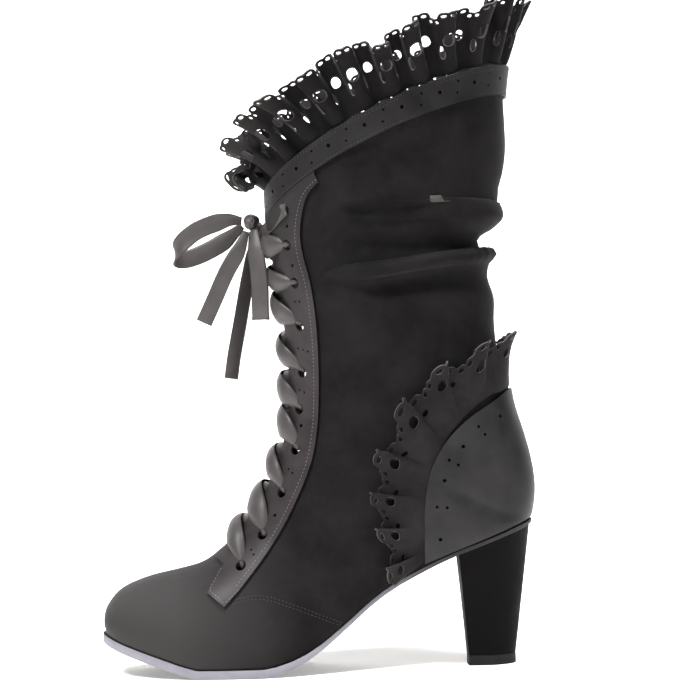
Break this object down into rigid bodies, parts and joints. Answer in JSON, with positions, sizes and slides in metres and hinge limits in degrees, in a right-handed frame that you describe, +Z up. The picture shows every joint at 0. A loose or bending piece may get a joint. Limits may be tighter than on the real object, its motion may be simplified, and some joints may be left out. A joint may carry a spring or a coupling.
{
  "type": "victorian lace-up heeled boot",
  "caption": "Left lace-up boot with a slanted ruffled collar, ribbon bow, ruffled heel counter and tall block heel.",
  "frame": {"origin": "middle of the boot's own box, on the floor", "axes": "+X from toe to heel, +Y towards the inner side of the foot, +Z up"},
  "size_m": [0.2444, 0.1447, 0.3675],
  "materials": {
    "suede": "matte nap",
    "trim_leather": "satin",
    "ribbon": "satin",
    "sole": "satin",
    "heel_cover": "satin",
    "top_piece": "matte",
    "lining": "matte"
  },
  "bodies": {
    "root": {"upper": "suede", "outsole": "sole", "insole": "lining", "heel": "heel_cover", "heel_tip": "top_piece", "tongue": "suede", "eyestay_outer": "trim_leather", "eyestay_inner": "trim_leather", "collar_band": "trim_leather", "heel_counter": "trim_leather", "collar_ruffle": "suede", "counter_ruffle": "suede", "lace_crossing_1": "ribbon", "lace_crossing_2": "ribbon", "lace_crossing_3": "ribbon", "lace_crossing_4": "ribbon", "lace_crossing_5": "ribbon", "lace_crossing_6": "ribbon", "lace_crossing_7": "ribbon", "lace_crossing_8": "ribbon", "lace_crossing_9": "ribbon", "lace_top_outer": "ribbon", "lace_top_inner": "ribbon", "bow_knot": "ribbon", "bow_loop_front": "ribbon", "bow_loop_hanging": "ribbon", "ribbon_end_short": "ribbon", "ribbon_end_long": "ribbon"}
  },
  "joints": []
}
